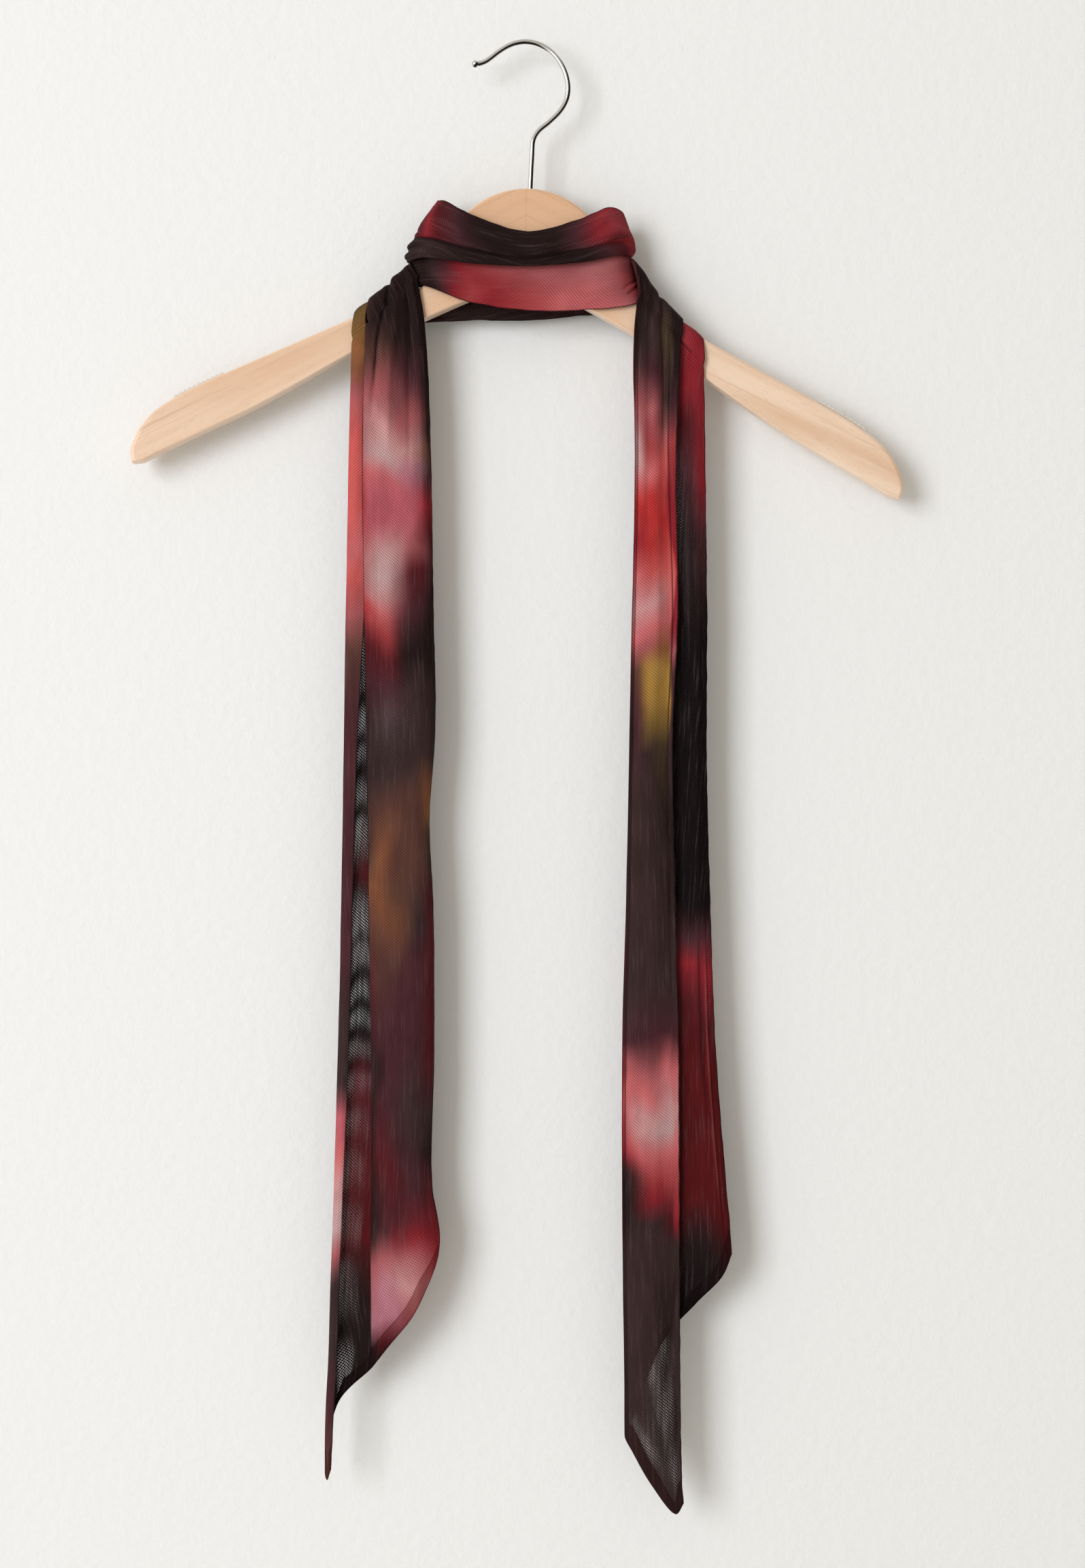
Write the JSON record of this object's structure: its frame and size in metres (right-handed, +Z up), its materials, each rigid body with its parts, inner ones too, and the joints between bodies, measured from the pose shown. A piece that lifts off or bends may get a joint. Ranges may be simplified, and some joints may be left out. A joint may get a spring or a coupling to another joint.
{
  "type": "mesh scarf on a wooden hanger",
  "caption": "Long narrow scarf of fine printed mesh, wound round the neck of a wooden hanger, its slant-ended tails hanging down the front.",
  "frame": {"origin": "seat of the hook, at the top of its inner curve, where it hangs on a rail or peg", "axes": "+X to the viewer's right, +Z up, -Y towards the front"},
  "size_m": [0.4389, 0.0321, 0.8341],
  "materials": {
    "wood": "light beech, satin",
    "chrome": "polished wire",
    "clear_grip": "clear ribbed strip, satin",
    "mesh": "fine stretch mesh with a blurred print, slight sheen"
  },
  "bodies": {
    "root": {"hanger_wood": "wood", "hook": "chrome", "grip_left": "clear_grip", "grip_right": "clear_grip", "tail_left": "mesh", "tail_right": "mesh", "neck_band_upper": "mesh", "neck_band_lower": "mesh", "back_pass_first": "mesh", "back_pass_second": "mesh", "back_pass_last": "mesh"}
  },
  "joints": []
}
